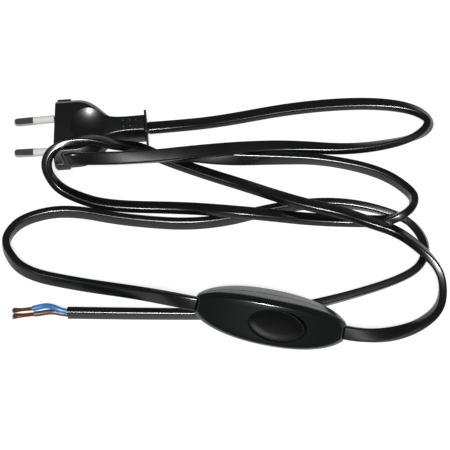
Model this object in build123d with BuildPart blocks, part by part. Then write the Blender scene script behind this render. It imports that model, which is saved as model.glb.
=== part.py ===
from build123d import *
from math import atan2, cos, degrees, pi, radians, sin, sqrt, tan
import os

# Mains lead with a moulded two-pin plug, a rocker switch in its run and a stripped end.
# Millimetres, +Z up. The plug and the switch lie on the surface z = 0, and the origin is
# on that surface, under the middle of the box that holds the two of them.

# Plug: its own x runs from the pin face back to the cord, y across, z through its thickness
plug_x, plug_y = -57.2, 47.7
plug_turn = 5.1
plug_thick = 13.7
head_width = 34.4
head_flat = 6.2
head_straight = 9.0
head_length = 33.0
ear_width = 36.0
ear_thick = 4.8
ear_start, ear_end = 0.8, 7.4
neck_width = 9.6
neck_thick = 11.4
neck_end = 44.2
flange_thick = 1.3
flange_width = 12.4
flange_round = 3.0
mould_round = 0.8
dish_at = 18.0
dish_radius = 10.5
dish_depth = 1.7
dot_radius = 0.65
dot_rise = 0.25
dot_start, dot_pitch, dot_row = 33.7, 3.1, 1.7
dot_columns = 3

# Pins: nickel-plated, sleeved next to the face, leaning slightly together
pin_diameter = 4.0
pin_length = 19.0
pin_spread = 18.6
pin_lean = 1.6
sleeve_length = 10.0
sleeve_diameter = 3.6
shank_diameter = 2.6
pin_root = 11.0
barrel_diameter = 3.6
barrel_length = 4.0
bridge_start, bridge_end = 1.5, 6.5
bridge_width, bridge_thick = 26.0, 7.0

# Cord: flat, two cores; the long runs are plain tubes with the same section area
cord_width, cord_thick, cord_round = 6.0, 3.5, 0.9
tube_diameter = 5.0
core_diameter = 2.3
core_spacing = 2.5
plug_sheath = 16.0

# Switch: its own x runs along the cord, y across, z out of the face; parting at z = 0
switch_x, switch_y, switch_z = 44.0, -51.2, 14.6
switch_turn, switch_rise, switch_roll = -9.2, 6.0, 40.0
pod_width, pod_end = 20.6, 7.0
pod_cut, pod_shoulder, pod_fullness = 32.8, 23.5, 0.77
pod_mid, pod_tip = 10.5, 4.0
pod_wall = 1.8
pod_end_wall = 2.8
pod_round = 1.2
seam_chamfer = 0.35
sheath_inside = 22.6

# Rocker: a slice of a spheroid turned about its pivot, so it clears its opening as it tilts
pivot_height = 6.0
rocker_radius, rocker_half_width = 12.9, 7.2
rocker_gap = 0.25
rocker_tilt = 9.0
rocker_offset = 2.8
rocker_top, rocker_bottom = 3.8, -1.9
rocker_dip, rocker_round = 0.6, 0.4
rocker_wall, rocker_draw = 1.5, 0.4
trunnion_diameter, trunnion_reach = 3.0, 8.7
bearing_gap = 0.08
lug_half = 2.4
boss_diameter, boss_bottom = 5.0, -5.2
bore_diameter, bore_top = 3.0, 1.2
plunger_nose = -8.0
plunger_length = 4.2
plunger_head = 2.8
spring_wire = 0.35
spring_turns = 5
plunger_gap, spring_side = 0.05, 0.15

# Contact work under the rocker
seesaw_height, seesaw_tilt = -2.5, 8.0
seesaw_length, seesaw_width, seesaw_thick = 15.0, 4.0, 0.6
rivet_at, rivet_diameter, rivet_drop = 6.4, 2.4, 0.8
floor_level = -8.0
strip_thick, strip_width = 1.0, 4.8
post_inner, post_outer, post_top = 9.4, 14.0, -5.75
contact_reach = 4.6
fulcrum_half, fulcrum_reach, fulcrum_gap = 1.2, 1.5, 0.1
ear_y, ear_plate, ear_top = 2.4, 0.6, -1.6
post_screw = 11.7
neutral_y, neutral_width, neutral_half = 5.2, 3.4, 8.0
neutral_pad = 3.4
neutral_screw = 5.5
screw_diameter, screw_head, screw_head_thick, screw_depth = 2.2, 3.4, 1.2, 3.2
screw_slot, screw_gap = 0.6, 0.05
core_lift, core_lead = 0.05, 2.6

# Cord clamps and case screws
clamp_length, clamp_width, clamp_thick = 9.8, 3.0, 1.5
clamp_round = 0.5
clamp_screw_y, clamp_screw_diameter, clamp_screw_depth = 4.0, 1.5, 4.0
clamp_head, clamp_head_thick, clamp_side_gap = 1.9, 0.8, 0.6
clamp_post, clamp_to_case = 2.1, 7.2
case_screw_y, case_boss, case_screw_diameter = 5.1, 5.2, 2.6
case_head, case_head_thick, case_head_level, case_screw_top = 3.8, 1.6, -6.2, 4.0

# Stripped end: cores out of the sheath, then bare copper
strand_diameter = 1.3
strand_fan, strand_flat = 2.6, 0.9


def across(base, along):
    """Plane across a base plane's x axis, at a station along it."""
    return Plane(base.from_local_coords((along, 0, 0)), x_dir=base.y_dir, z_dir=base.x_dir)


def beside(base):
    """Plane through a base plane's x and z axes, for side outlines."""
    return Plane(base.origin, x_dir=base.x_dir, z_dir=-base.y_dir)


def place(base, x, y, z):
    """Point given in a base plane's own axes."""
    return base.from_local_coords(Vector(x, y, z))


def save(piece, name):
    piece.part.label = name
    export_step(piece.part, f"parts/{name}.step")


def tube(points, radii, diameter):
    """Round tube along straight runs joined by tangent arcs."""
    with BuildPart() as made:
        with BuildLine() as path:
            FilletPolyline(*points, radius=radii)
        start = path.line
        with BuildSketch(Plane(start @ 0, z_dir=start % 0)):
            Circle(diameter / 2)
        sweep(path=start)
    return made


def bend_radii(points):
    """Largest arc at each corner: 0.45 of the shorter run over the tangent of half the turn."""
    spots = [Vector(*p) for p in points]
    radii = []
    for before, corner, after in zip(spots, spots[1:], spots[2:]):
        turn = (corner - before).get_angle(after - corner)
        shorter = min((corner - before).length, (after - corner).length)
        radii.append(0.45 * shorter / tan(radians(turn / 2)))
    return radii


os.makedirs("parts", exist_ok=True)

plug_plane = Plane(
    (plug_x, plug_y, plug_thick / 2),
    x_dir=(cos(radians(plug_turn)), sin(radians(plug_turn)), 0),
    z_dir=(0, 0, 1),
)
pin_planes = {
    "far": Plane(
        place(plug_plane, 0, pin_spread / 2, 0),
        x_dir=plug_plane.x_dir.rotate(Axis.Z, pin_lean),
        z_dir=(0, 0, 1),
    ),
    "near": Plane(
        place(plug_plane, 0, -pin_spread / 2, 0),
        x_dir=plug_plane.x_dir.rotate(Axis.Z, -pin_lean),
        z_dir=(0, 0, 1),
    ),
}

# Pins: turned brass, rounded tip, thin shank under the sleeve, crimp barrel at the root
plug_pins = {}
pin_sleeves = {}
for side, pin_plane in pin_planes.items():
    with BuildPart() as pin:
        with BuildSketch(pin_plane):
            with BuildLine():
                tip = Line((-pin_length, 0), (-pin_length, pin_diameter / 4))
                nose = RadiusArc(
                    tip @ 1, (-pin_length + pin_diameter / 4, pin_diameter / 2), pin_diameter / 4
                )
                Polyline(
                    nose @ 1,
                    (-sleeve_length, pin_diameter / 2),
                    (-sleeve_length, shank_diameter / 2),
                    (pin_root - barrel_length, shank_diameter / 2),
                    (pin_root - barrel_length, barrel_diameter / 2),
                    (pin_root, barrel_diameter / 2),
                    (pin_root, 0),
                    tip @ 0,
                )
            make_face()
        revolve(axis=Axis(pin_plane.origin, pin_plane.x_dir))
    plug_pins[side] = pin
    save(pin, f"plug_pin_{side}")

    with BuildPart() as sleeve:
        with BuildSketch(across(pin_plane, -sleeve_length)):
            Circle(sleeve_diameter / 2)
            Circle(shank_diameter / 2, mode=Mode.SUBTRACT)
        extrude(amount=sleeve_length)
    pin_sleeves[side] = sleeve
    save(sleeve, f"pin_sleeve_{side}")

# Bridge: the stiff carrier that holds both pins before the grip is moulded round it
with BuildPart() as pin_bridge:
    with BuildSketch(across(plug_plane, bridge_start)):
        RectangleRounded(bridge_width, bridge_thick, mould_round)
    extrude(amount=bridge_end - bridge_start)
    for pin in plug_pins.values():
        add(pin.part, mode=Mode.SUBTRACT)
save(pin_bridge, "pin_bridge")

# Cord end inside the plug: the sheath stops in the neck, the cores spread to the pins
plug_back = neck_end + flange_thick
sheath_stop = plug_back - plug_sheath
with BuildPart() as sheath_end_plug:
    with BuildSketch(across(plug_plane, sheath_stop)):
        RectangleRounded(cord_thick, cord_width, cord_round)
    extrude(amount=plug_sheath)
save(sheath_end_plug, "sheath_end_plug")

plug_cores = {}
for side, colour, height in (("far", "blue", 1), ("near", "brown", -1)):
    root = place(pin_planes[side], pin_root, 0, 0)
    stop = place(plug_plane, sheath_stop, 0, height * core_spacing / 2)
    ahead = place(plug_plane, sheath_stop - 3.0, 0, height * core_spacing / 2)
    behind = root + pin_planes[side].x_dir * 3.0
    points = [stop, ahead, behind, root]
    plug_cores[colour] = tube(points, bend_radii(points), core_diameter)
    save(plug_cores[colour], f"core_{colour}_plug")

# Grip: one moulding; hexagonal head, waisted neck, thin flange where the cord leaves
with BuildPart() as plug_body:
    with BuildSketch(plug_plane.offset(-plug_thick / 2)):
        with BuildLine():
            edge = Line((0, 0), (0, head_width / 2))
            straight = Line(edge @ 1, (head_straight, head_width / 2))
            waist = Spline(
                straight @ 1,
                (head_straight + 11.5, head_width / 2 - 2.7),
                (head_straight + 17.6, head_width / 2 - 7.5),
                (head_length, neck_width / 2),
                tangents=((1, 0), (1, 0)),
            )
            Line(waist @ 1, (neck_end, neck_width / 2))
            Line((neck_end, neck_width / 2), (neck_end, 0))
            mirror(about=Plane.XZ)
        make_face()
    extrude(amount=plug_thick)
    with BuildSketch(beside(plug_plane)):
        with BuildLine():
            Polyline((0, 0), (0, plug_thick / 2), (dish_at, plug_thick / 2))
            Spline(
                (dish_at, plug_thick / 2),
                (head_length, neck_thick / 2),
                tangents=((1, 0), (1, 0)),
            )
            Polyline((head_length, neck_thick / 2), (neck_end, neck_thick / 2), (neck_end, 0))
            mirror(about=Plane.XZ)
        make_face()
    extrude(amount=ear_width, both=True, mode=Mode.INTERSECT)
    slope = (plug_thick - head_flat) / 2
    with BuildSketch(across(plug_plane, 0)):
        half = head_width / 2
        Polygon(
            (half, -head_flat / 2), (half, head_flat / 2), (half - slope, plug_thick / 2),
            (slope - half, plug_thick / 2), (-half, head_flat / 2), (-half, -head_flat / 2),
            (slope - half, -plug_thick / 2), (half - slope, -plug_thick / 2),
        )
    extrude(amount=neck_end, mode=Mode.INTERSECT)
    long_edges = [e for e in plug_body.edges() if e.length > 5 and abs(
        (e % 0.5).dot(plug_plane.z_dir)) < 0.9]
    fillet(long_edges, mould_round)
    dish_ball = (dish_radius**2 + dish_depth**2) / (2 * dish_depth)
    lift = plug_thick / 2 + dish_ball - dish_depth
    with Locations(place(plug_plane, dish_at, 0, lift), place(plug_plane, dish_at, 0, -lift)):
        Sphere(dish_ball, mode=Mode.SUBTRACT)
    with BuildSketch(plug_plane.offset(-ear_thick / 2)):
        with Locations(((ear_start + ear_end) / 2, 0)):
            Rectangle(ear_end - ear_start, ear_width)
    extrude(amount=ear_thick)
    with BuildSketch(across(plug_plane, neck_end)):
        RectangleRounded(flange_width, plug_thick, flange_round)
    extrude(amount=flange_thick)
    for column in range(dot_columns):
        for row in (-dot_row, dot_row):
            top = neck_thick / 2 - dot_radius + dot_rise
            with Locations(place(plug_plane, dot_start + column * dot_pitch, row, top)):
                Sphere(dot_radius)
    hidden = [pin_bridge, sheath_end_plug]
    hidden += [*plug_pins.values(), *pin_sleeves.values(), *plug_cores.values()]
    for piece in hidden:
        add(piece.part, mode=Mode.SUBTRACT)
save(plug_body, "plug_body")

# Cord ends inside the switch: sheath under each clamp, cores on to the terminals
switch_plane = Plane(
    (switch_x, switch_y, switch_z),
    x_dir=Vector(1, 0, 0).rotate(Axis.Y, switch_rise).rotate(Axis.Z, switch_turn),
    z_dir=Vector(0, 0, 1).rotate(Axis.X, switch_roll).rotate(Axis.Y, switch_rise).rotate(
        Axis.Z, switch_turn),
)
works = Plane(place(switch_plane, rocker_offset, 0, 0), x_dir=switch_plane.x_dir,
              z_dir=switch_plane.z_dir)

sheath_ends = {}
for way, sign in (("in", -1), ("out", 1)):
    with BuildPart() as sheath_end:
        with BuildSketch(across(switch_plane, sign * sheath_inside)):
            RectangleRounded(cord_width, cord_thick, cord_round)
        extrude(amount=sign * (pod_cut - sheath_inside))
    sheath_ends[way] = sheath_end
    save(sheath_end, f"sheath_end_{way}")

strip_top = post_top + strip_thick
core_rest = strip_top + core_diameter / 2 + core_lift
head_side = screw_head / 2 + core_lift
inner_cores = {}
for way, sign in (("in", -1), ("out", 1)):
    for colour, side, stop_at, stop_y in (
        ("blue", 1, neutral_screw, neutral_y), ("brown", -1, post_screw, 0),
    ):
        leave = place(switch_plane, sign * sheath_inside, side * core_spacing / 2, 0)
        ahead = place(switch_plane, sign * (sheath_inside - core_lead), side * core_spacing / 2, 0)
        root = place(works, sign * (stop_at + head_side), stop_y, core_rest)
        behind = place(works, sign * (stop_at + head_side + core_lead), stop_y, core_rest)
        points = [leave, ahead, behind, root]
        core = tube(points, bend_radii(points), core_diameter)
        inner_cores[colour, way] = core
        save(core, f"core_{colour}_{way}")

# Contacts: flat strips on posts; the left one carries the fulcrum of the see-saw
fulcrum_top = seesaw_height - seesaw_thick / 2 - fulcrum_gap
with BuildPart() as contact_in:
    with BuildSketch(works.offset(post_top)):
        with Locations((-(post_outer - fulcrum_reach) / 2, 0)):
            Rectangle(post_outer + fulcrum_reach, strip_width)
    extrude(amount=strip_thick)
    with BuildSketch(beside(works)):
        Polygon((-fulcrum_half, strip_top), (fulcrum_half, strip_top), (0, fulcrum_top), align=None)
    extrude(amount=seesaw_width / 2, both=True)
    with BuildSketch(works.offset(post_top)):
        with Locations((0, ear_y), (0, -ear_y)):
            Rectangle(2 * fulcrum_reach, ear_plate)
    extrude(amount=ear_top - post_top)
    with Locations(Plane(place(works, -post_screw, 0, strip_top), x_dir=works.x_dir,
                         z_dir=works.z_dir)):
        Hole(screw_diameter / 2 + screw_gap, depth=strip_thick)
save(contact_in, "contact_in")

with BuildPart() as contact_out:
    with BuildSketch(works.offset(post_top)):
        with Locations(((post_outer + contact_reach) / 2, 0)):
            Rectangle(post_outer - contact_reach, strip_width)
    extrude(amount=strip_thick)
    with Locations(Plane(place(works, post_screw, 0, strip_top), x_dir=works.x_dir,
                         z_dir=works.z_dir)):
        Hole(screw_diameter / 2 + screw_gap, depth=strip_thick)
save(contact_out, "contact_out")

with BuildPart() as neutral_link:
    with BuildSketch(works.offset(post_top)):
        with Locations((0, neutral_y)):
            Rectangle(2 * neutral_half, neutral_width)
        with Locations((neutral_screw, neutral_y), (-neutral_screw, neutral_y)):
            Circle(screw_diameter / 2 + screw_gap, mode=Mode.SUBTRACT)
    extrude(amount=strip_thick)
save(neutral_link, "neutral_link")

# See-saw contact: strip with a contact rivet at each end, right end down at rest
seesaw_plane = Plane(
    place(works, 0, 0, seesaw_height),
    x_dir=works.x_dir * cos(radians(seesaw_tilt)) - works.z_dir * sin(radians(seesaw_tilt)),
    z_dir=works.z_dir * cos(radians(seesaw_tilt)) + works.x_dir * sin(radians(seesaw_tilt)),
)
with BuildPart() as seesaw_contact:
    with BuildSketch(seesaw_plane.offset(-seesaw_thick / 2)):
        RectangleRounded(seesaw_length, seesaw_width, seesaw_width / 4)
    extrude(amount=seesaw_thick)
    with BuildSketch(seesaw_plane.offset(-seesaw_thick / 2 - rivet_drop)):
        with Locations((rivet_at, 0), (-rivet_at, 0)):
            Circle(rivet_diameter / 2)
    extrude(amount=rivet_drop)
save(seesaw_contact, "seesaw_contact")

# Rocker: tilted with its left end pressed in
rocker_plane = Plane(
    place(works, 0, 0, pivot_height),
    x_dir=works.x_dir * cos(radians(rocker_tilt)) + works.z_dir * sin(radians(rocker_tilt)),
    z_dir=works.z_dir * cos(radians(rocker_tilt)) - works.x_dir * sin(radians(rocker_tilt)),
)
rocker_axis = Axis(rocker_plane.origin, rocker_plane.y_dir)


def spheroid(long_half, wide_half):
    """Ellipse turned about the rocker's axis."""
    with BuildPart(mode=Mode.PRIVATE) as made:
        with BuildSketch(rocker_plane):
            Ellipse(long_half, wide_half)
            with Locations((-long_half, 0)):
                Rectangle(2 * long_half, 2 * wide_half + 1, mode=Mode.SUBTRACT)
        revolve(axis=rocker_axis)
    return made.part


with BuildPart() as rocker:
    with BuildSketch(rocker_plane):
        Ellipse(rocker_radius, rocker_half_width)
        Rectangle(trunnion_diameter, 2 * trunnion_reach)
        with Locations((-rocker_radius, 0)):
            Rectangle(2 * rocker_radius, 4 * rocker_half_width, mode=Mode.SUBTRACT)
    revolve(axis=rocker_axis)
    with BuildSketch(beside(rocker_plane)):
        with BuildLine():
            Line((rocker_radius, rocker_top + rocker_dip), (rocker_radius, rocker_bottom))
            Line((rocker_radius, rocker_bottom), (-rocker_radius, rocker_bottom))
            Line((-rocker_radius, rocker_bottom), (-rocker_radius, rocker_top + rocker_dip))
            ThreePointArc((-rocker_radius, rocker_top + rocker_dip), (0, rocker_top),
                          (rocker_radius, rocker_top + rocker_dip))
        make_face()
    extrude(amount=trunnion_reach + 1, both=True, mode=Mode.INTERSECT)
    rim = rocker.faces().sort_by(Axis(rocker_plane.origin, rocker_plane.z_dir))[-1].edges()
    fillet(rim, rocker_round)
    with BuildSketch(rocker_plane.offset(rocker_bottom)):
        Ellipse(rocker_radius - rocker_wall - rocker_draw, rocker_half_width - rocker_wall)
    extrude(amount=rocker_top - rocker_wall - rocker_bottom, mode=Mode.SUBTRACT)
    with BuildSketch(rocker_plane.offset(boss_bottom)):
        Circle(boss_diameter / 2)
    extrude(amount=rocker_top - rocker_wall / 2 - boss_bottom)
    with BuildSketch(rocker_plane.offset(boss_bottom)):
        Circle(bore_diameter / 2)
    extrude(amount=bore_top - boss_bottom, mode=Mode.SUBTRACT)
save(rocker, "rocker")

# Plunger and its spring in the bore
plunger_radius = bore_diameter / 2 - plunger_gap
with BuildPart() as plunger:
    with BuildSketch(rocker_plane.offset(plunger_nose + plunger_radius)):
        Circle(plunger_radius)
    extrude(amount=plunger_length - plunger_radius)
    with Locations(place(rocker_plane, 0, 0, plunger_nose + plunger_radius)):
        Sphere(plunger_radius)
save(plunger, "plunger")

spring_low = plunger_nose + plunger_length + spring_wire / 2 + spring_side
spring_high = bore_top - spring_wire / 2 - spring_side
spring_radius = bore_diameter / 2 - spring_side - spring_wire / 2
with BuildPart() as plunger_spring:
    with BuildLine():
        coil = Helix((spring_high - spring_low) / spring_turns, spring_high - spring_low,
                     spring_radius, center=place(rocker_plane, 0, 0, spring_low),
                     direction=rocker_plane.z_dir)
    with BuildSketch(Plane(coil @ 0, z_dir=coil % 0)):
        Circle(spring_wire / 2)
    sweep(is_frenet=True)
save(plunger_spring, "plunger_spring")

# Screws
with BuildPart() as terminal_screws:
    spots = ((-post_screw, 0), (post_screw, 0), (-neutral_screw, neutral_y),
             (neutral_screw, neutral_y))
    with BuildSketch(works.offset(strip_top)):
        with Locations(*spots):
            Circle(screw_head / 2)
    extrude(amount=screw_head_thick)
    with BuildSketch(works.offset(strip_top - screw_depth)):
        with Locations(*spots):
            Circle(screw_diameter / 2)
    extrude(amount=screw_depth)
    with BuildSketch(works.offset(strip_top + screw_head_thick)):
        with Locations(*spots):
            Rectangle(screw_head, screw_slot)
    extrude(amount=-screw_head_thick / 2, mode=Mode.SUBTRACT)
save(terminal_screws, "terminal_screws")

# The clamps sit where the housing is just wide enough for their screws, the case screws further in
with BuildLine() as pod_side:
    Spline((-pod_cut, pod_end / 2), (-pod_shoulder, pod_width * pod_fullness / 2),
           (0, pod_width / 2), (pod_shoulder, pod_width * pod_fullness / 2),
           (pod_cut, pod_end / 2))
clamp_reach = clamp_screw_y + clamp_head / 2 + clamp_side_gap + pod_wall
wide_enough = pod_side.edge().find_intersection_points(Axis((0, clamp_reach, 0), (1, 0, 0)))
clamp_at = max(point.X for point in wide_enough)
case_screw_at = clamp_at - clamp_to_case

clamp_low = cord_thick / 2
cord_clamps = {}
for way, sign in (("in", -1), ("out", 1)):
    with BuildPart() as clamp:
        with BuildSketch(switch_plane.offset(clamp_low)):
            with Locations((sign * clamp_at, 0)):
                RectangleRounded(clamp_width, clamp_length, clamp_round)
            with Locations((sign * clamp_at, clamp_screw_y), (sign * clamp_at, -clamp_screw_y)):
                Circle(clamp_screw_diameter / 2 + screw_gap, mode=Mode.SUBTRACT)
        extrude(amount=clamp_thick)
    cord_clamps[way] = clamp
    save(clamp, f"cord_clamp_{way}")

clamp_spots = [(x * clamp_at, y * clamp_screw_y) for x in (-1, 1) for y in (-1, 1)]
with BuildPart() as clamp_screws:
    with BuildSketch(switch_plane.offset(clamp_low + clamp_thick)):
        with Locations(*clamp_spots):
            Circle(clamp_head / 2)
    extrude(amount=clamp_head_thick)
    with BuildSketch(switch_plane.offset(clamp_low + clamp_thick - clamp_screw_depth)):
        with Locations(*clamp_spots):
            Circle(clamp_screw_diameter / 2)
    extrude(amount=clamp_screw_depth)
save(clamp_screws, "clamp_screws")

case_spots = ((-case_screw_at, -case_screw_y), (case_screw_at, -case_screw_y))
with BuildPart() as case_screws:
    with BuildSketch(switch_plane.offset(case_head_level - case_head_thick)):
        with Locations(*case_spots):
            Circle(case_head / 2)
    extrude(amount=case_head_thick)
    with BuildSketch(switch_plane.offset(case_head_level)):
        with Locations(*case_spots):
            Circle(case_screw_diameter / 2)
    extrude(amount=case_screw_top - case_head_level)
    with BuildSketch(switch_plane.offset(case_head_level - case_head_thick)):
        with Locations(*case_spots):
            Rectangle(case_head - 1.2, screw_slot)
            Rectangle(screw_slot, case_head - 1.2)
    extrude(amount=case_head_thick / 2, mode=Mode.SUBTRACT)
save(case_screws, "case_screws")

# Housing: lens-shaped in plan, crowned face and back, split at mid height


def pod(inset, end_inset):
    """Lens-shaped body drawn in by the wall thickness."""
    end = pod_cut - end_inset
    half = pod_width / 2 - inset
    quarter = pod_width * pod_fullness / 2 - inset
    tip = pod_end / 2 - inset
    with BuildPart(mode=Mode.PRIVATE) as made:
        with BuildSketch(switch_plane.offset(-pod_mid)):
            with BuildLine():
                Spline((-end, tip), (-pod_shoulder, quarter), (0, half), (pod_shoulder, quarter),
                       (end, tip))
                Line((end, tip), (end, -tip))
                Spline((end, -tip), (pod_shoulder, -quarter), (0, -half),
                       (-pod_shoulder, -quarter), (-end, -tip))
                Line((-end, -tip), (-end, tip))
            make_face()
        extrude(amount=2 * pod_mid)
        with BuildSketch(beside(switch_plane)):
            with BuildLine():
                ThreePointArc((-pod_cut, pod_tip - inset), (0, pod_mid - inset),
                              (pod_cut, pod_tip - inset))
                Line((pod_cut, pod_tip - inset), (pod_cut, inset - pod_tip))
                ThreePointArc((pod_cut, inset - pod_tip), (0, inset - pod_mid),
                              (-pod_cut, inset - pod_tip))
                Line((-pod_cut, inset - pod_tip), (-pod_cut, pod_tip - inset))
            make_face()
        extrude(amount=pod_width, both=True, mode=Mode.INTERSECT)
    return made.part


side_way = Axis(switch_plane.origin, switch_plane.z_dir)
with BuildPart(mode=Mode.PRIVATE) as outside:
    add(pod(0, 0))
    levels = outside.faces().sort_by(side_way)
    fillet(levels[-1].edges() + levels[0].edges(), pod_round)
hollow = pod(pod_wall, pod_end_wall)
inside_pieces = [*sheath_ends.values(), *cord_clamps.values()]

with BuildPart() as switch_base:
    with BuildSketch(switch_plane):
        Rectangle(3 * pod_cut, 3 * pod_width)
    extrude(amount=-2 * pod_mid)
    add(outside.part, mode=Mode.INTERSECT)
    chamfer(switch_base.faces().sort_by(side_way)[-1].edges(), seam_chamfer)
    with BuildPart(mode=Mode.PRIVATE) as room:
        add(hollow)
        with BuildSketch(switch_plane.offset(floor_level)):
            Rectangle(3 * pod_cut, 3 * pod_width)
        extrude(amount=pod_mid * 2, mode=Mode.INTERSECT)
    add(room.part, mode=Mode.SUBTRACT)
    with BuildSketch(works.offset(floor_level)):
        middle = (post_inner + post_outer) / 2
        with Locations((-middle, 0), (middle, 0)):
            Rectangle(post_outer - post_inner, strip_width)
        pad = (neutral_pad + neutral_half) / 2
        with Locations((-pad, neutral_y), (pad, neutral_y)):
            Rectangle(neutral_half - neutral_pad, neutral_width)
        Rectangle(2 * fulcrum_reach, strip_width)
    extrude(amount=post_top - floor_level)
    with BuildPart(mode=Mode.PRIVATE) as posts:
        with BuildSketch(switch_plane):
            with Locations(*clamp_spots):
                Circle(clamp_post)
            with Locations(*case_spots):
                Circle(case_boss / 2)
        extrude(amount=-2 * pod_mid)
        add(outside.part, mode=Mode.INTERSECT)
    add(posts.part)
    with BuildSketch(works.offset(post_top)):
        with Locations(*spots):
            Circle(screw_diameter / 2 + screw_gap)
    extrude(amount=strip_top - screw_depth - post_top, mode=Mode.SUBTRACT)
    with BuildSketch(switch_plane):
        with Locations(*clamp_spots):
            Circle(clamp_screw_diameter / 2 + screw_gap)
    extrude(amount=clamp_low + clamp_thick - clamp_screw_depth - screw_gap, mode=Mode.SUBTRACT)
    with BuildSketch(switch_plane):
        with Locations(*case_spots):
            Circle(case_screw_diameter / 2 + screw_gap)
    extrude(amount=-2 * pod_mid, mode=Mode.SUBTRACT)
    with BuildSketch(switch_plane.offset(case_head_level)):
        with Locations(*case_spots):
            Circle(case_head / 2 + screw_gap)
    extrude(amount=-pod_mid, mode=Mode.SUBTRACT)
    for piece in inside_pieces:
        add(piece.part, mode=Mode.SUBTRACT)
save(switch_base, "switch_base")

with BuildPart() as switch_cover:
    with BuildSketch(switch_plane):
        Rectangle(3 * pod_cut, 3 * pod_width)
    extrude(amount=2 * pod_mid)
    add(outside.part, mode=Mode.INTERSECT)
    chamfer(switch_cover.faces().sort_by(side_way)[0].edges(), seam_chamfer)
    add(hollow, mode=Mode.SUBTRACT)
    with BuildPart(mode=Mode.PRIVATE) as lugs:
        with BuildSketch(works.offset(pivot_height - lug_half)):
            lug_start = rocker_half_width + rocker_gap
            with Locations((0, (lug_start + pod_width / 2) / 2),
                           (0, -(lug_start + pod_width / 2) / 2)):
                Rectangle(2 * lug_half, pod_width / 2 - lug_start)
        extrude(amount=pod_mid)
        with BuildSketch(switch_plane):
            with Locations(*case_spots):
                Circle(case_boss / 2)
        extrude(amount=2 * pod_mid)
        add(outside.part, mode=Mode.INTERSECT)
    add(lugs.part)
    add(spheroid(rocker_radius + rocker_gap, rocker_half_width + rocker_gap), mode=Mode.SUBTRACT)
    with BuildSketch(Plane(rocker_plane.origin, x_dir=rocker_plane.x_dir,
                           z_dir=rocker_plane.y_dir)):
        Circle(trunnion_diameter / 2 + bearing_gap)
    extrude(amount=trunnion_reach + 2 * bearing_gap, both=True, mode=Mode.SUBTRACT)
    with BuildSketch(switch_plane):
        with Locations(*case_spots):
            Circle(case_screw_diameter / 2 + screw_gap)
    extrude(amount=case_screw_top + 2 * screw_gap, mode=Mode.SUBTRACT)
    for piece in inside_pieces:
        add(piece.part, mode=Mode.SUBTRACT)
save(switch_cover, "switch_cover")

# Cord from the plug to the switch: upper right loop, folded over the plug's shoulder, second
# right loop, left loop over the pins' side, lower right loop and into the switch
first_route = [
    place(plug_plane, plug_back, 0, 0), place(plug_plane, plug_back + 14.5, 0, 0),
    (22.6, 58.3, 2.6), (58.6, 66.3, 2.6), (92.6, 69.3, 2.6), (114.9, 66.7, 2.6),
    (124.8, 59.5, 2.6), (121.6, 52.3, 2.6), (109.6, 46.3, 2.6), (84.6, 41.8, 2.6),
    (55.6, 43.8, 2.6), (32.6, 40.9, 6.2), (10.6, 34.4, 13.0), (-9.4, 30.5, 15.0),
    (-33.1, 27.5, 18.0), (-45.8, 24.6, 23.0), (-49.8, 27.6, 18.3), (-47.3, 30.5, 13.6),
    (-38.6, 30.9, 12.6), (-24.7, 32.5, 10.3), (-10.8, 34.2, 8.8), (-0.4, 34.3, 9.4),
    (8.0, 36.2, 6.4), (24.6, 36.5, 2.6), (48.6, 37.1, 2.6), (71.6, 36.7, 2.6),
    (98.6, 29.8, 2.6), (112.6, 18.3, 2.6), (112.6, 10.3, 5.6), (107.6, 3.3, 9.4),
    (100.1, 0.7, 7.0), (90.6, 2.7, 2.8), (65.6, 3.6, 2.6), (41.6, 3.6, 8.0),
    (25.6, 4.8, 8.8), (6.6, 9.9, 2.6), (-30.4, 10.7, 2.6), (-46.4, 16.3, 2.6),
    (-54.9, 20.8, 4.5), (-59.4, 26.3, 11.8), (-56.9, 32.8, 16.5), (-48.4, 37.1, 17.8),
    (-37.4, 38.3, 17.9), (-27.2, 37.3, 14.3), (-16.7, 42.1, 5.0), (-6.4, 37.3, 2.6),
    (14.6, 28.9, 2.6), (34.6, 21.8, 2.6), (48.6, 13.3, 8.0), (62.6, 7.8, 9.2),
    (77.1, 4.9, 8.0), (90.6, -1.5, 10.0), (103.6, -5.3, 7.6), (113.6, -15.7, 9.5),
    (121.6, -24.2, 5.5), (122.4, -34.2, 2.6), (118.1, -44.0, 2.8), (105.6, -53.2, 5.5),
    place(switch_plane, pod_cut + 12.0, 0, 0), place(switch_plane, pod_cut, 0, 0),
]

# Cord from the switch to the stripped end: left loop, right loop and under the switch
second_route = [
    place(switch_plane, -pod_cut, 0, 0), place(switch_plane, -pod_cut - 9.0, 0, 0),
    (-13.4, -36.3, 8.0), (-41.4, -29.7, 2.6), (-66.4, -24.1, 2.6), (-75.7, -12.3, 2.6),
    (-75.9, -4.5, 2.6), (-68.6, 4.2, 2.6), (-49.3, 9.2, 2.6), (-20.3, 3.0, 2.6),
    (16.4, 0.6, 2.6), (52.1, 11.1, 2.6), (81.0, 13.4, 2.6), (107.5, 5.7, 2.6),
    (115.6, -4.7, 2.6), (116.3, -15.3, 2.6), (108.9, -24.8, 2.6), (81.3, -35.0, 2.6),
    (45.9, -42.7, 2.6), (2.5, -43.9, 2.6), (-45.1, -43.1, 2.6),
]

for name, route in (("cord_plug_to_switch", first_route), ("cord_switch_to_end", second_route)):
    radii = bend_radii(route)
    cord = tube(route, radii, tube_diameter)
    section = pi * tube_diameter**2 / 4
    print(name, "length", round(cord.part.volume / section, 1), "smallest bend", round(min(radii), 1))
    print("radii", [round(radius, 1) for radius in radii])
    save(cord, name)

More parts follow.
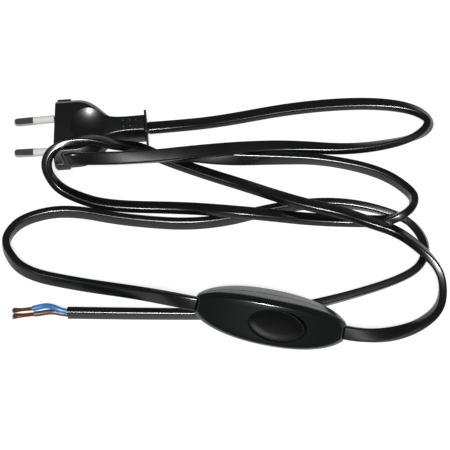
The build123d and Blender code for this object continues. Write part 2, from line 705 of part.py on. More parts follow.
# Stripped end: the cores leave the sheath one above the other, then the bare strands
end_plane = Plane(second_route[-1], x_dir=(0, 0, 1),
                  z_dir=Vector(*second_route[-1]) - Vector(*second_route[-2]))
bare_ends = {
    "blue": [
        place(end_plane, core_spacing / 2, 0, 0), place(end_plane, core_spacing / 2, 0, 3.0),
        (-50.9, -41.7, 4.6), (-54.2, -40.8, 3.6), (-57.7, -40.9, 2.4), (-60.9, -41.4, 1.6),
    ],
    "brown": [
        place(end_plane, -core_spacing / 2, 0, 0), place(end_plane, -core_spacing / 2, 0, 2.6),
        (-51.0, -43.5, 1.3), (-54.2, -43.3, 1.4), (-57.7, -43.6, 1.25), (-60.2, -44.0, 1.3),
    ],
}
strand_tips = {"blue": (-69.4, -41.7, 0.7), "brown": (-68.7, -45.4, 0.7)}
for colour, points in bare_ends.items():
    save(tube(points, bend_radii(points), core_diameter), f"{colour}_core_end")
    root, tip = Vector(*points[-1]), Vector(*strand_tips[colour])
    with BuildPart() as strands:
        with BuildSketch(Plane(root, z_dir=root - Vector(*points[-2]))):
            Circle(strand_diameter / 2)
        with BuildSketch(Plane(tip, x_dir=Vector(0, 0, 1).cross(tip - root), z_dir=tip - root)):
            RectangleRounded(strand_fan, strand_flat, strand_flat / 3)
        loft()
    save(strands, f"{colour}_strands")
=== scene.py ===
import math
import random

import bpy
from mathutils import Matrix, Vector


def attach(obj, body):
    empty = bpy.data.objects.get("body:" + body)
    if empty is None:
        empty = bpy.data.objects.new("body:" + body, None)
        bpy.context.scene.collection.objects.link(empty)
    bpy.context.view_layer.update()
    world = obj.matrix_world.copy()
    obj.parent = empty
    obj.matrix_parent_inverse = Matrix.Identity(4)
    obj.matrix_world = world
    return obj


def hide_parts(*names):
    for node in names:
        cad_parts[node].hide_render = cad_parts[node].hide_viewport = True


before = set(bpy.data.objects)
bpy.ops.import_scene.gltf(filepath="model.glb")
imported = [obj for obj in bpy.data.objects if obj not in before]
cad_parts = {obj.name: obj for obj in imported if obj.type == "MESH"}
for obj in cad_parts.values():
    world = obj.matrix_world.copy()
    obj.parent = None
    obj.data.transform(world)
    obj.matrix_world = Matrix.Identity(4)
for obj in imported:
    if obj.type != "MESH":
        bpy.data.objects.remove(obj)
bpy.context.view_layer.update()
mm = 0.001
print("frame loaded")

# small tools


# hex sRGB to linear
def linear(code):
    parts = [int(code[i:i + 2], 16) / 255 for i in (1, 3, 5)]
    return [p / 12.92 if p <= 0.04045 else ((p + 0.055) / 1.055) ** 2.4 for p in parts] + [1.0]


def only(obj):
    for other in bpy.context.selected_objects:
        other.select_set(False)
    obj.select_set(True)
    bpy.context.view_layer.objects.active = obj


def addNode(tree, kind, settings=None, inputs=None, links=None):
    node = tree.nodes.new(kind)
    for key, value in (settings or {}).items():
        setattr(node, key, value)
    for key, value in (inputs or {}).items():
        node.inputs[key].default_value = value
    for key, source in (links or {}).items():
        tree.links.new(source, node.inputs[key])
    return node


def applyAll(obj):
    only(obj)
    for modifier in list(obj.modifiers):
        bpy.ops.object.modifier_apply(modifier=modifier.name)


def cut(obj, tool):
    modifier = obj.modifiers.new("cut", "BOOLEAN")
    modifier.operation = "DIFFERENCE"
    modifier.solver = "EXACT"
    modifier.object = tool
    applyAll(obj)
    bpy.data.objects.remove(tool)


def joinAll(objs, name):
    only(objs[0])
    for obj in objs:
        obj.select_set(True)
    bpy.ops.object.join()
    objs[0].name = name
    return objs[0]


def seat(obj, matrix):
    bpy.context.view_layer.update()
    obj.matrix_world = matrix @ obj.matrix_world
    only(obj)
    bpy.ops.object.transform_apply(location=True, rotation=True, scale=True)


def smooth(obj, degrees=32):
    only(obj)
    bpy.ops.object.shade_smooth_by_angle(angle=math.radians(degrees))


def outward(obj):
    only(obj)
    bpy.ops.object.mode_set(mode="EDIT")
    bpy.ops.mesh.select_all(action="SELECT")
    bpy.ops.mesh.remove_doubles(threshold=1e-5)
    bpy.ops.mesh.normals_make_consistent(inside=False)
    bpy.ops.object.mode_set(mode="OBJECT")


# a profile of x and radius, turned about the x axis
def lathe(name, profile, steps=56):
    mesh = bpy.data.meshes.new(name)
    mesh.from_pydata([(x, r, 0) for x, r in profile], [(i, i + 1) for i in range(len(profile) - 1)], [])
    obj = bpy.data.objects.new(name, mesh)
    bpy.context.collection.objects.link(obj)
    only(obj)
    bpy.ops.object.mode_set(mode="EDIT")
    bpy.ops.mesh.select_all(action="SELECT")
    bpy.ops.mesh.spin(steps=steps, angle=2 * math.pi, center=(0, 0, 0), axis=(1, 0, 0))
    bpy.ops.object.mode_set(mode="OBJECT")
    outward(obj)
    return obj


def softBox(name, centre, size, radius, segments=3):
    bpy.ops.mesh.primitive_cube_add(size=1, location=centre)
    obj = bpy.context.object
    obj.name = name
    obj.scale = size
    bpy.ops.object.transform_apply(location=True, rotation=True, scale=True)
    bpy.ops.object.mode_set(mode="EDIT")
    bpy.ops.mesh.select_all(action="SELECT")
    bpy.ops.mesh.bevel(offset=radius, segments=segments, affect="EDGES")
    bpy.ops.object.mode_set(mode="OBJECT")
    return obj


# rounds the sharp edges by width times the weight at their middle
def weightedBevel(obj, width, weightOf, sharp, segments):
    only(obj)
    bpy.ops.object.mode_set(mode="EDIT")
    bpy.ops.mesh.select_mode(type="EDGE")
    bpy.ops.mesh.select_all(action="DESELECT")
    bpy.ops.mesh.edges_select_sharp(sharpness=math.radians(sharp))
    bpy.ops.object.mode_set(mode="OBJECT")
    weights = obj.data.attributes.new("bevel_weight_edge", "FLOAT", "EDGE")
    for edge in obj.data.edges:
        a, b = (obj.data.vertices[i].co for i in edge.vertices)
        weights.data[edge.index].value = weightOf((a + b) / 2) if edge.select else 0
    modifier = obj.modifiers.new("soften", "BEVEL")
    modifier.limit_method = "WEIGHT"
    modifier.width = width
    modifier.segments = segments
    applyAll(obj)


# materials

# grainScale, grainDepth and broadScale in mm: fine surface relief, and wide faint changes of sheen
broadScale = 14


def basicMaterial(name, colour, roughness, metallic=0.0, grainScale=1.5, grainDepth=0.02, patchy=0.06):
    mat = bpy.data.materials.new(name)
    mat.use_nodes = True
    tree = mat.node_tree
    shader = tree.nodes["Principled BSDF"]
    shader.inputs["Base Color"].default_value = linear(colour)
    shader.inputs["Metallic"].default_value = metallic
    where = addNode(tree, "ShaderNodeTexCoord")
    grain = addNode(tree, "ShaderNodeTexNoise", inputs={"Scale": 1 / (grainScale * mm), "Detail": 3.0},
                    links={"Vector": where.outputs["Object"]})
    broad = addNode(tree, "ShaderNodeTexNoise", inputs={"Scale": 1 / (broadScale * mm), "Detail": 2.0},
                    links={"Vector": where.outputs["Object"]})
    sheen = {"To Min": roughness - patchy, "To Max": roughness + patchy}
    rough = addNode(tree, "ShaderNodeMapRange", inputs=sheen, links={"Value": broad.outputs["Fac"]})
    tree.links.new(rough.outputs["Result"], shader.inputs["Roughness"])
    bump = addNode(tree, "ShaderNodeBump", inputs={"Strength": 1.0, "Distance": grainDepth * mm},
                   links={"Height": grain.outputs["Fac"]})
    tree.links.new(bump.outputs["Normal"], shader.inputs["Normal"])
    return mat


# near-black with thin bright lines along its rounded corners
sheathBlack = basicMaterial("extruded black PVC sheath", "#0b0c0d", 0.27, grainScale=2.5, grainDepth=0.006,
                            patchy=0.03)
# the same black with a softer, wider sheen in the dish
gripBlack = basicMaterial("moulded black PVC grip", "#0b0c0d", 0.35, grainScale=0.9, grainDepth=0.004,
                          patchy=0.03)
# a hint of grey-green, dark on the face and light where it mirrors the table
shellBlack = basicMaterial("moulded polyamide shell", "#0e1010", 0.20, grainScale=0.5, grainDepth=0.002,
                           patchy=0.03)
# darkest and glossiest piece, so the key stands out from the face
keyBlack = basicMaterial("polished moulded key", "#040404", 0.17, grainScale=1.2, grainDepth=0.003)
# off-white with a dull sheen
sleeveWhite = basicMaterial("moulded nylon pin sleeve", "#e4e4e0", 0.42, grainScale=0.8, grainDepth=0.006)
# smooth metal that mirrors the table at its lower edge
nickel = basicMaterial("nickel plated turned brass", "#bab7b0", 0.12, metallic=1.0, grainScale=2.0,
                       grainDepth=0.002, patchy=0.02)
# clear blue and dull brown, soft highlights
blueCore = basicMaterial("extruded blue PVC core", "#2f7fc4", 0.38, grainScale=1.2, grainDepth=0.015)
brownCore = basicMaterial("extruded brown PVC core", "#5e3b24", 0.40, grainScale=1.2, grainDepth=0.015)
# dulled red-brown wires
copper = basicMaterial("drawn copper wire", "#7a4630", 0.42, metallic=0.3, grainScale=0.2, grainDepth=0.004)
# inside pieces: yellow contact strip, grey screws and spring, pale plastics
brass = basicMaterial("stamped brass strip", "#b8913f", 0.32, metallic=1.0, grainScale=0.4, grainDepth=0.003)
zinc = basicMaterial("zinc plated steel", "#a9a9a4", 0.34, metallic=1.0, grainScale=0.3, grainDepth=0.003)
ivory = basicMaterial("moulded ivory carrier", "#c9c3b2", 0.45)
acetal = basicMaterial("moulded white acetal", "#dcdad2", 0.38)


def finish(obj, mat, body, slotName, *nodes):
    obj.data.materials.clear()
    obj.data.materials.append(mat)
    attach(obj, body)
    if nodes:
        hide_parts(*nodes)


# camera: place in mm, tilt in degrees from straight down

view = {"lens": 89.4, "sensor": 36, "place": (24.56, -245.8, 457.0), "tilt": 28.5}
camData = bpy.data.cameras.new("camera")
camData.lens = view["lens"]
camData.sensor_width = view["sensor"]
camera = bpy.data.objects.new("camera", camData)
camera.location = [v * mm for v in view["place"]]
camera.rotation_euler = (math.radians(view["tilt"]), 0, 0)
bpy.context.collection.objects.link(camera)
bpy.context.scene.camera = camera

# cords: x, y, z in mm, and how far the wide side is turned up from flat, in degrees

cordShape = {"width": 6.0, "thick": 3.5, "corner": 0.9}


def makeSection(name, width, thick, corner):
    bpy.ops.mesh.primitive_plane_add(size=1)
    section = bpy.context.object
    section.name = name
    section.scale = (width * mm, thick * mm, 1)
    bpy.ops.object.transform_apply(scale=True)
    bpy.ops.object.mode_set(mode="EDIT")
    bpy.ops.mesh.select_all(action="SELECT")
    bpy.ops.mesh.bevel(offset=corner * mm, segments=5, affect="VERTICES")
    bpy.ops.mesh.delete(type="ONLY_FACE")
    bpy.ops.object.mode_set(mode="OBJECT")
    bpy.ops.object.convert(target="CURVE")
    return section


def makeRoute(name, rows):
    data = bpy.data.curves.new(name, "CURVE")
    data.dimensions = "3D"
    data.twist_mode = "Z_UP"
    data.resolution_u = 12
    line = data.splines.new("NURBS")
    line.points.add(len(rows) - 1)
    for point, row in zip(line.points, rows):
        point.co = (row[0] * mm, row[1] * mm, row[2] * mm, 1)
        point.tilt = math.radians(row[3])
    line.order_u = 3
    line.use_endpoint_u = True
    obj = bpy.data.objects.new(name, data)
    bpy.context.collection.objects.link(obj)
    return obj


def linePoints(route):
    bare = bpy.data.meshes.new_from_object(route)
    points = [v.co.copy() for v in bare.vertices]
    bpy.data.meshes.remove(bare)
    return points


# the flat section drawn along the route, as a mesh, with the line that it follows
def makeCord(route, section):
    points = linePoints(route)
    route.data.bevel_mode = "OBJECT"
    route.data.bevel_object = section
    route.data.use_fill_caps = True
    only(route)
    bpy.ops.object.convert(target="MESH")
    outward(route)
    smooth(route, 40)
    return points


flatSection = makeSection("flat section", **cordShape)

firstRoute = makeRoute("cordToSwitch", [
    (-11.9, 51.7, 6.85, 170), (2.6, 53.0, 6.85, 165), (22.6, 58.1, 3.1, 166), (58.6, 66.1, 3.1, 170),
    (92.6, 69.1, 3.1, 172), (114.9, 66.5, 3.1, 160), (124.8, 59.3, 3.1, 130), (121.6, 52.1, 3.1, 92),
    (109.6, 46.1, 3.1, 45), (84.6, 41.6, 3.1, 27), (55.6, 43.6, 3.2, 3), (32.6, 40.9, 6.2, -14),
    (10.6, 34.4, 13.0, -17), (-9.4, 30.5, 15.0, -22), (-33.1, 27.5, 18.0, -38),
    (-45.8, 24.6, 23.0, -60), (-49.8, 27.6, 18.3, -90), (-47.3, 30.5, 13.6, -118),
    (-38.6, 30.9, 12.6, -130), (-24.7, 32.5, 10.3, -136), (-10.8, 34.2, 9.0, -144),
    (-0.4, 34.3, 9.4, -148), (8.0, 36.2, 6.6, -150), (24.6, 36.3, 3.2, -140), (48.6, 36.9, 3.1, -103),
    (71.6, 36.5, 3.1, -85), (98.6, 29.6, 3.1, -95), (112.6, 18.1, 3.1, -92), (112.6, 10.1, 5.9, -93),
    (107.6, 3.1, 9.8, -110), (100.1, 0.5, 7.6, -140), (90.6, 2.5, 3.2, -160), (65.6, 3.4, 3.1, -162),
    (41.6, 3.3, 8.6, -160), (25.6, 4.5, 9.4, -160), (6.6, 9.7, 3.1, -160), (-30.4, 10.5, 3.1, -157),
    (-46.4, 16.1, 3.1, -152), (-54.9, 20.8, 4.8, -140), (-59.4, 26.3, 11.8, -108),
    (-56.9, 32.8, 16.5, -78), (-48.4, 37.1, 17.8, -48), (-37.4, 38.3, 17.9, -30),
    (-27.2, 37.3, 14.3, -25), (-16.7, 42.1, 5.0, -24), (-6.4, 37.3, 3.1, -22), (14.6, 28.7, 3.1, -20),
    (34.6, 21.6, 3.1, -20), (48.6, 12.9, 8.6, -21), (62.6, 7.5, 9.8, -22), (77.1, 4.6, 8.8, -24),
    (90.6, -1.8, 10.2, -27), (103.6, -5.5, 8.0, -32), (113.6, -15.9, 9.8, -48),
    (121.6, -24.3, 5.8, -68), (122.4, -34.4, 3.1, -86), (118.1, -44.2, 3.2, -125),
    (105.6, -53.2, 5.6, -146), (87.7, -58.3, 9.8, -205), (75.99, -56.43, 11.17, -221),
])
firstLine = makeCord(firstRoute, flatSection)

secondRoute = makeRoute("cordToBareEnd", [
    (12.01, -45.97, 18.03, 139), (3.2, -44.5, 18.9, 130), (-13.4, -36.3, 8.2, 112),
    (-41.4, -29.7, 3.1, 117), (-66.4, -24.1, 3.1, 113), (-75.7, -12.3, 3.1, 101),
    (-75.9, -4.5, 3.1, 93), (-68.6, 4.2, 3.1, 86), (-49.3, 9.0, 3.1, 81), (-20.3, 2.8, 3.1, 80),
    (16.4, 0.4, 3.1, 80), (52.1, 10.9, 3.1, 86), (81.0, 13.2, 3.1, 100), (107.5, 5.5, 3.1, 116),
    (115.6, -4.9, 3.1, 124), (116.3, -15.5, 3.1, 98), (108.9, -25.0, 3.1, 72), (81.3, -35.2, 3.1, 76),
    (45.9, -43.9, 3.1, 86), (2.5, -44.4, 3.1, 97), (-45.1, -43.6, 3.1, 97),
])
secondLine = makeCord(secondRoute, flatSection)
bpy.data.objects.remove(flatSection)

finish(firstRoute, sheathBlack, "lead", "sheath", "cord_plug_to_switch")
finish(secondRoute, sheathBlack, "lead", "sheath", "cord_switch_to_end")
print("cords made")

# plug: x from the pin face to the cord, y across, z up

plugPlace = (Matrix.Translation((-57.2 * mm, 47.7 * mm, 6.85 * mm))
             @ Matrix.Rotation(math.radians(5.1), 4, "Z") @ Matrix.Scale(mm, 4))
plug = {"end": 43.5, "thick": 6.85, "stations": 54,
        "dishAt": 17.6, "dishSide": 0.3, "dishRadius": 9.5, "dishDepth": 3.2,
        "round": 1.5, "leastRound": 0.25, "mostRound": 0.85, "roundFrom": 10, "roundOver": 26, "sharp": 14,
        "lean": 0.75, "leanAcross": 0.05, "leanReach": 9}
# along the plug: top half width, half width, half thickness, half height of the side
plugRows = [
    (0, 13.45, 17.2, 6.85, 3.1), (4, 13.45, 17.2, 6.85, 3.1), (8.7, 13.45, 17.2, 6.85, 3.1),
    (12.7, 13.3, 17.1, 6.85, 3.1), (15.4, 12.6, 16.5, 6.83, 3.1), (17.5, 11.4, 15.5, 6.75, 3.0),
    (20.2, 9.5, 13.7, 6.4, 2.8), (22.3, 7.8, 11.7, 6.0, 2.5), (24.4, 6.1, 9.5, 5.65, 2.2),
    (26.6, 5.0, 7.6, 5.5, 1.8), (29, 4.5, 6.5, 5.5, 1.2), (32, 4.15, 5.8, 5.6, 0.7),
    (37, 4.05, 5.2, 5.7, 0.4), (plug["end"], 4.2, 5.0, 5.7, 0.4)]


# smooth value between rows
def between(rows, x):
    i = max(j for j in range(len(rows) - 1) if rows[j][0] <= x + 1e-9)
    r = [rows[max(0, min(len(rows) - 1, k))] for k in (i - 1, i, i + 1, i + 2)]
    t = (x - r[1][0]) / (r[2][0] - r[1][0])
    out = []
    for a, b, c, d in zip(*[row[1:] for row in r]):
        out.append(b + 0.5 * t * (c - a + t * (2 * a - 5 * b + 4 * c - d + t * (3 * (b - c) + d - a))))
    return out


def plugRing(station):
    x = plug["end"] * station / plug["stations"]
    a, b, h, e = between(plugRows, x)
    corners = ((a, h), (b, e), (b, -e), (a, -h), (-a, -h), (-b, -e), (-b, e), (-a, h))
    return [(x, y, z) for y, z in corners]


# edges are crisp on the head and get rounder down the neck
def plugRound(p):
    if p.x < plug["roundFrom"]:
        return plug["leastRound"]
    return min(plug["mostRound"], plug["leastRound"] + (p.x - plug["roundFrom"]) / plug["roundOver"])


bpy.ops.mesh.primitive_circle_add(vertices=8, fill_type="NGON")
plugBody = bpy.context.object
plugBody.name = "plugBody"
for v, co in zip(plugBody.data.vertices, plugRing(0)):
    v.co = co
for station in range(1, plug["stations"] + 1):
    only(plugBody)
    bpy.ops.object.mode_set(mode="EDIT")
    bpy.ops.mesh.select_mode(type="FACE")
    bpy.ops.mesh.select_all(action="DESELECT")
    bpy.ops.object.mode_set(mode="OBJECT")
    far = max(plugBody.data.polygons, key=lambda f: f.center.x)
    far.select = True
    bpy.ops.object.mode_set(mode="EDIT")
    bpy.ops.mesh.extrude_region_move()
    bpy.ops.object.mode_set(mode="OBJECT")
    before, after = plugRing(station - 1), plugRing(station)
    for v in plugBody.data.vertices:
        if v.select:
            corner = min(range(8), key=lambda j: (v.co - Vector(before[j])).length)
            v.co = after[corner]
# the pin face leans a little, so the far corner sits further back
for v in plugBody.data.vertices:
    v.co.x += (plug["lean"] + plug["leanAcross"] * v.co.y) * max(0, 1 - v.co.x / plug["leanReach"])
outward(plugBody)
weightedBevel(plugBody, plug["round"], plugRound, plug["sharp"], 4)
only(plugBody)
bpy.ops.object.mode_set(mode="EDIT")
bpy.ops.mesh.select_all(action="SELECT")
bpy.ops.mesh.quads_convert_to_tris()
bpy.ops.object.mode_set(mode="OBJECT")
# a round dish for the finger on both sides
dishBall = (plug["dishRadius"] ** 2 + plug["dishDepth"] ** 2) / (2 * plug["dishDepth"])
for way in (1, -1):
    bpy.ops.mesh.primitive_uv_sphere_add(segments=200, ring_count=140, radius=dishBall, location=(
        plug["dishAt"], plug["dishSide"], way * (plug["thick"] + dishBall - plug["dishDepth"])))
    cut(plugBody, bpy.context.object)
smooth(plugBody, 30)

# the flat plate of the head ends in a low step; the ears are the ledges beside it
headStep = {"at": 8.35, "high": 6.82, "size": (0.35, 25.4, 0.3), "round": 0.12}
ear = {"at": 4.7, "shift": 0.7, "side": 17.3, "size": (6.6, 2.6, 5.4), "round": 0.4}
flange = {"at": plug["end"] + 0.6, "size": (1.2, 12.4, 13.7), "round": 0.35}
dot = {"along": (33.4, 36.6, 39.7), "across": (1.7, -1.7), "high": 5.62, "radius": 0.65}
plugExtras = []
for way in (1, -1):
    stepPlace = (headStep["at"], 0, way * headStep["high"])
    plugExtras.append(softBox("step", stepPlace, headStep["size"], headStep["round"], 2))
for way in (1, -1):
    earPlace = (ear["at"] + way * ear["shift"], way * ear["side"], 0)
    plugExtras.append(softBox("ear", earPlace, ear["size"], ear["round"]))
plugExtras.append(softBox("flange", (flange["at"], 0, 0), flange["size"], flange["round"]))
for dotX in dot["along"]:
    for dotY in dot["across"]:
        bpy.ops.mesh.primitive_uv_sphere_add(segments=20, ring_count=12, radius=dot["radius"],
                                             location=(dotX, dotY, dot["high"]))
        plugExtras.append(bpy.context.object)
for extra in plugExtras:
    smooth(extra, 35)
plugBody = joinAll([plugBody] + plugExtras, "plugBody")
seat(plugBody, plugPlace)
finish(plugBody, gripBlack, "lead", "grip", "plug_body")

# pins and their sleeves: x is 0 at the face, the tip is at the low end

pin = {"spread": 9.3, "lean": 1.6}
pinProfile = [(-19.0, 0), (-19.0, 0.95), (-18.9, 1.3), (-18.65, 1.62), (-18.3, 1.85), (-17.8, 1.97),
              (-17.2, 2.0), (-10.0, 2.0), (-10.0, 1.3), (7.0, 1.3), (7.0, 1.8), (11.0, 1.8), (11.0, 0)]
sleeveProfile = [(-9.98, 1.32), (-9.98, 1.85), (-9.85, 1.95), (-8.9, 1.95), (-8.75, 1.82), (-0.6, 1.84),
                 (0.0, 1.95), (0.0, 1.32), (-9.98, 1.32)]
for side, way in (("far", 1), ("near", -1)):
    pinPlace = plugPlace @ Matrix.Translation((0, way * pin["spread"], 0)) @ Matrix.Rotation(
        math.radians(way * pin["lean"]), 4, "Z")
    metal = lathe("pin_" + side + "_metal", pinProfile)
    smooth(metal, 40)
    seat(metal, pinPlace)
    finish(metal, nickel, "lead", "pin", "plug_pin_" + side)
    sleeve = lathe("pin_" + side + "_sleeve", sleeveProfile)
    smooth(sleeve, 40)
    seat(sleeve, pinPlace)
    finish(sleeve, sleeveWhite, "lead", "sleeve", "pin_sleeve_" + side)
print("plug made")

# switch: x along the cord, y across, z out of the face

switchPlace = (Matrix.Translation((44.0 * mm, -51.2 * mm, 14.6 * mm))
               @ Matrix.Rotation(math.radians(-9.2), 4, "Z") @ Matrix.Rotation(math.radians(6), 4, "Y")
               @ Matrix.Rotation(math.radians(40), 4, "X") @ Matrix.Scale(mm, 4))
# lean and drop: how far the face is drawn in, and how far down that slope runs, on cover and base
pod = {"half": 32.8, "wide": 10.3, "reach": 34.2, "power": 2.3, "mid": 10.5, "tip": 4.0, "wall": 1.8,
       "round": 0.5, "sharp": 18, "roundAbove": 1.5, "parting": 0.35, "footX": 0.99, "footY": 0.96,
       "cover": (1.5, 3.0), "base": (0.4, 1.2)}
key = {"x": 2.8, "z": 6.0, "radius": 12.9, "wide": 7.2, "gap": 0.25, "tilt": -9.0, "top": 4.15,
       "bottom": -1.9, "lip": 0.5, "ring": 1.1, "dips": (-0.14, -0.14, -0.08), "round": 0.4, "roundAbove": 3,
       "hollow": (11.0, 5.7, 1), "hollowDeep": 4.2, "hollowAt": 0.2}
keyPlace = Matrix.Translation((key["x"], 0, key["z"])) @ Matrix.Rotation(math.radians(key["tilt"]), 4, "Y")
crownRadius = (pod["half"] ** 2 + (pod["mid"] - pod["tip"]) ** 2) / (2 * (pod["mid"] - pod["tip"]))


def podWidth(x):
    return pod["wide"] * (1 - (abs(x) / pod["reach"]) ** pod["power"]) ** (1 / pod["power"])


def podHeight(x):
    return pod["mid"] - crownRadius + math.sqrt(crownRadius ** 2 - x * x)


def keyBall(name, grow):
    bpy.ops.mesh.primitive_uv_sphere_add(segments=180, ring_count=90, radius=1, rotation=(math.pi / 2, 0, 0))
    ball = bpy.context.object
    ball.name = name
    bpy.ops.object.transform_apply(rotation=True)
    ball.scale = (key["radius"] + grow, key["wide"] + grow, key["radius"] + grow)
    seat(ball, keyPlace)
    return ball


# crowned face, sloping shoulder, upright wall, and a foot drawn in at the parting line; then the wall inwards
def makeShell(name, lean, drop, turn):
    bpy.ops.mesh.primitive_grid_add(x_subdivisions=110, y_subdivisions=6, size=2)
    shell = bpy.context.object
    shell.name = name
    for v in shell.data.vertices:
        x = v.co.x * pod["half"]
        v.co = (x * (1 - lean / pod["half"]), v.co.y * (podWidth(x) - lean), podHeight(x))
    bpy.ops.object.mode_set(mode="EDIT")
    bpy.ops.mesh.select_mode(type="EDGE")
    bpy.ops.mesh.select_all(action="DESELECT")
    bpy.ops.mesh.select_non_manifold()
    for ring in ("shoulder", "wall", "foot"):
        bpy.ops.mesh.extrude_region_move()
        bpy.ops.object.mode_set(mode="OBJECT")
        for v in shell.data.vertices:
            if v.select:
                if ring == "shoulder":
                    x = v.co.x / (1 - lean / pod["half"])
                    v.co = (x, v.co.y * podWidth(x) / (podWidth(x) - lean), v.co.z - drop)
                elif ring == "wall":
                    v.co.z = pod["parting"]
                else:
                    v.co = (v.co.x * pod["footX"], v.co.y * pod["footY"], 0)
        bpy.ops.object.mode_set(mode="EDIT")
    bpy.ops.object.mode_set(mode="OBJECT")
    outward(shell)
    seat(shell, turn)
    weightedBevel(shell, pod["round"], lambda p: 1.0 if abs(p.z) > pod["roundAbove"] else 0, pod["sharp"], 4)
    solid = shell.modifiers.new("wall", "SOLIDIFY")
    solid.thickness = pod["wall"]
    solid.offset = -1
    solid.use_even_offset = False
    applyAll(shell)
    return shell


switchCover = makeShell("switchCover", *pod["cover"], Matrix.Identity(4))
cut(switchCover, keyBall("opening", key["gap"]))
smooth(switchCover)
seat(switchCover, switchPlace)
finish(switchCover, shellBlack, "lead", "cover", "switch_cover")
switchBase = makeShell("switchBase", *pod["base"], Matrix.Rotation(math.pi, 4, "X"))
smooth(switchBase)
seat(switchBase, switchPlace)
finish(switchBase, shellBlack, "lead", "base", "switch_base")

# rocker: slice of a spheroid with a slightly hollow top, its left end pressed in

rocker = keyBall("rockerKey", 0)
seat(rocker, keyPlace.inverted())
only(rocker)
bpy.ops.object.mode_set(mode="EDIT")
for level, way in ((key["bottom"], -1), (key["top"], 1)):
    bpy.ops.mesh.select_all(action="SELECT")
    bpy.ops.mesh.bisect(plane_co=(0, 0, level), plane_no=(0, 0, way), clear_outer=True, use_fill=True)
bpy.ops.mesh.remove_doubles(threshold=0.15)
bpy.ops.mesh.select_mode(type="FACE")
bpy.ops.mesh.inset(thickness=key["lip"], depth=0)
for dip in key["dips"]:
    bpy.ops.mesh.inset(thickness=key["ring"], depth=dip)
bpy.ops.object.mode_set(mode="OBJECT")
weightedBevel(rocker, key["round"], lambda p: 1.0 if p.z > key["roundAbove"] else 0, 30, 3)
bpy.ops.mesh.primitive_cylinder_add(vertices=96, radius=1, depth=key["hollowDeep"],
                                    location=(0, 0, key["hollowAt"]))
hollow = bpy.context.object
hollow.scale = key["hollow"]
bpy.ops.object.transform_apply(scale=True)
cut(rocker, hollow)
# the plunger's guide hangs from the middle, and two axles stand out at the sides
guide = lathe("guide", [(-5.2, 1.5), (-5.2, 2.5), (3.0, 2.5), (3.0, 0), (1.2, 0), (1.2, 1.5), (-5.2, 1.5)], 40)
seat(guide, Matrix.Rotation(math.radians(-90), 4, "Y"))
axleProfile = [(6.6, 0), (6.6, 1.5), (8.5, 1.5), (8.7, 1.3), (8.7, 0)]
axles = [lathe("axle", [(way * x, r) for x, r in axleProfile], 32) for way in (1, -1)]
for axle in axles:
    seat(axle, Matrix.Rotation(math.radians(90), 4, "Z"))
rocker = joinAll([rocker, guide] + axles, "rockerKey")
smooth(rocker, 15)
seat(rocker, switchPlace @ keyPlace)
finish(rocker, keyBlack, "rocker", "rocker", "rocker")
print("switch made")

# stripped end: the two cores and their bare strands

core = {"diameter": 2.4}
wire = {"radius": 0.17, "count": 26, "bundle": 0.85, "shortest": 0.93, "spread": 0.9, "lowest": 0.16}


def makeCore(name, rows, mat, slotName, node):
    obj = makeRoute(name, [row + (0,) for row in rows])
    obj.data.bevel_depth = core["diameter"] / 2 * mm
    obj.data.bevel_resolution = 6
    obj.data.use_fill_caps = True
    only(obj)
    bpy.ops.object.convert(target="MESH")
    outward(obj)
    smooth(obj, 50)
    finish(obj, mat, "lead", slotName, node)
    return obj


# wires that leave the core together and fan out towards their tips
def makeStrands(name, start, end, seed, node):
    chance = random.Random(seed)
    data = bpy.data.curves.new(name, "CURVE")
    data.dimensions = "3D"
    data.bevel_depth = wire["radius"] * mm
    data.bevel_resolution = 2
    data.resolution_u = 4
    data.use_fill_caps = True
    for _ in range(wire["count"]):
        around = chance.uniform(0, 2 * math.pi)
        out = wire["bundle"] * math.sqrt(chance.random())
        sideways, up = math.cos(around), math.sin(around)
        fan = chance.uniform(-1, 1) * wire["spread"]
        lift = chance.uniform(-0.3, 0.6)
        reach = chance.uniform(wire["shortest"], 1.0)
        line = data.splines.new("NURBS")
        rows = []
        for t, spreading in ((0, 0), (0.3, 0.05), (0.65, 0.35), (1.0, 1.0)):
            x = start[0] + (end[0] - start[0]) * t * reach
            y = start[1] + (end[1] - start[1]) * t + sideways * out * (1 - 0.3 * t) + fan * spreading
            z = start[2] + (end[2] - start[2]) * t + up * out * (1 - 0.5 * t) + lift * spreading
            rows.append((x * mm, y * mm, max(wire["lowest"], z) * mm, 1))
        line.points.add(len(rows) - 1)
        for point, row in zip(line.points, rows):
            point.co = row
        line.order_u = 3
        line.use_endpoint_u = True
    obj = bpy.data.objects.new(name, data)
    bpy.context.collection.objects.link(obj)
    only(obj)
    bpy.ops.object.convert(target="MESH")
    smooth(obj, 60)
    finish(obj, copper, "lead", "copper", node)
    return obj


coreBlue = makeCore("coreBlue", [
    (-45.1, -43.5, 4.3), (-47.6, -43.4, 4.9), (-50.2, -42.3, 5.4), (-52.8, -41.2, 4.9), (-55.4, -40.6, 4.0),
    (-58.2, -41.0, 3.4), (-61.0, -41.5, 2.9)], blueCore, "core_blue", "blue_core_end")
coreBrown = makeCore("coreBrown", [
    (-45.1, -43.7, 1.8), (-47.9, -43.4, 1.7), (-51.0, -42.9, 2.5), (-54.2, -42.8, 2.1), (-57.7, -43.3, 1.5),
    (-60.2, -43.4, 1.3)], brownCore, "core_brown", "brown_core_end")
strandsBlue = makeStrands("strandsBlue", (-60.6, -41.4, 2.8), (-70.2, -41.8, 1.2), 4, "blue_strands")
strandsBrown = makeStrands("strandsBrown", (-59.8, -43.4, 1.3), (-70.0, -44.4, 0.9), 9, "brown_strands")
print("bare end made")

# pieces inside the housings keep the CAD shapes

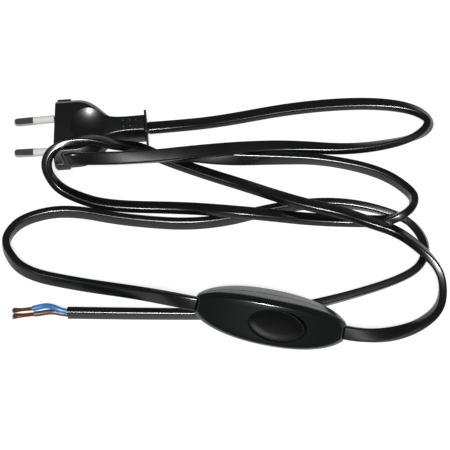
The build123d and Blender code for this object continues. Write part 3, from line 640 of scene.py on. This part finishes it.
insides = {
    "pin_bridge": ivory, "sheath_end_plug": sheathBlack, "core_blue_plug": blueCore,
    "core_brown_plug": brownCore, "plunger": acetal, "plunger_spring": zinc, "seesaw_contact": brass,
    "contact_in": brass, "contact_out": brass, "neutral_link": brass,
    "terminal_screws": zinc, "clamp_screws": zinc, "case_screws": zinc,
    "cord_clamp_in": keyBlack, "cord_clamp_out": keyBlack, "sheath_end_in": sheathBlack,
    "sheath_end_out": sheathBlack, "core_blue_in": blueCore, "core_blue_out": blueCore,
    "core_brown_in": brownCore, "core_brown_out": brownCore,
}
for nodeName, mat in insides.items():
    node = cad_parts[nodeName]
    node.data.materials.clear()
    node.data.materials.append(mat)
print("inside pieces dressed")

# floor: white to the eye and to glass, dimmer in mirrors, and it still takes the object's shadow

paper = {"size": 9, "colour": (0.3, 0.3, 0.3, 1), "roughness": 0.9, "specular": 0.1,
         "inGloss": 0.6, "glow": 0.85}
bpy.ops.mesh.primitive_plane_add(size=paper["size"])
floor = bpy.context.object
floor.name = "table"
floorMat = bpy.data.materials.new("matt white paper sheet")
floorMat.use_nodes = True
tree = floorMat.node_tree
sheet = tree.nodes["Principled BSDF"]
sheet.inputs["Base Color"].default_value = paper["colour"]
sheet.inputs["Roughness"].default_value = paper["roughness"]
sheet.inputs["Specular IOR Level"].default_value = paper["specular"]
rays = addNode(tree, "ShaderNodeLightPath")
dim = addNode(tree, "ShaderNodeMath", {"operation": "MULTIPLY"}, {1: paper["inGloss"]},
              links={0: rays.outputs["Is Glossy Ray"]})
seen = addNode(tree, "ShaderNodeMath", {"operation": "MAXIMUM"},
               links={0: rays.outputs["Is Camera Ray"], 1: dim.outputs[0]})
seenAll = addNode(tree, "ShaderNodeMath", {"operation": "MAXIMUM"},
                  links={0: seen.outputs[0], 1: rays.outputs["Is Transmission Ray"]})
lift = addNode(tree, "ShaderNodeMath", {"operation": "MULTIPLY"}, {1: paper["glow"]},
               links={0: seenAll.outputs[0]})
glow = addNode(tree, "ShaderNodeEmission", links={"Strength": lift.outputs[0]})
both = addNode(tree, "ShaderNodeAddShader", links={0: sheet.outputs[0], 1: glow.outputs[0]})
tree.links.new(both.outputs[0], tree.nodes["Material Output"].inputs["Surface"])
floor.data.materials.append(floorMat)

# light: a dim room, one window, and a soft box that only the gloss of the plastic pieces picks up

world = bpy.data.worlds.new("soft room")
bpy.context.scene.world = world
world.use_nodes = True
world.node_tree.nodes["Background"].inputs["Color"].default_value = (0.12, 0.12, 0.125, 1)


# azimuth 0 comes from +Y, 90 from +X
def addSun(name, azimuth, elevation, strength, spread):
    data = bpy.data.lights.new(name, "SUN")
    data.energy = strength
    data.angle = math.radians(spread)
    lamp = bpy.data.objects.new(name, data)
    a, e = math.radians(azimuth), math.radians(elevation)
    toward = Vector((math.sin(a) * math.cos(e), math.cos(a) * math.cos(e), math.sin(e)))
    lamp.rotation_euler = toward.to_track_quat("Z", "Y").to_euler()
    bpy.context.collection.objects.link(lamp)
    return lamp


window = addSun("window", 186, 60, 2.6, 8)
window.visible_glossy = False
gloss = addSun("softbox", 184, 61, 7.5, 12)
gloss.visible_diffuse = False
receivers = bpy.data.collections.new("plastic pieces")
for obj in (firstRoute, secondRoute, plugBody, switchCover, switchBase, rocker, coreBlue, coreBrown):
    receivers.objects.link(obj)
gloss.light_linking.receiver_collection = receivers

bpy.context.scene.view_settings.view_transform = "Standard"
print("floor and light made")
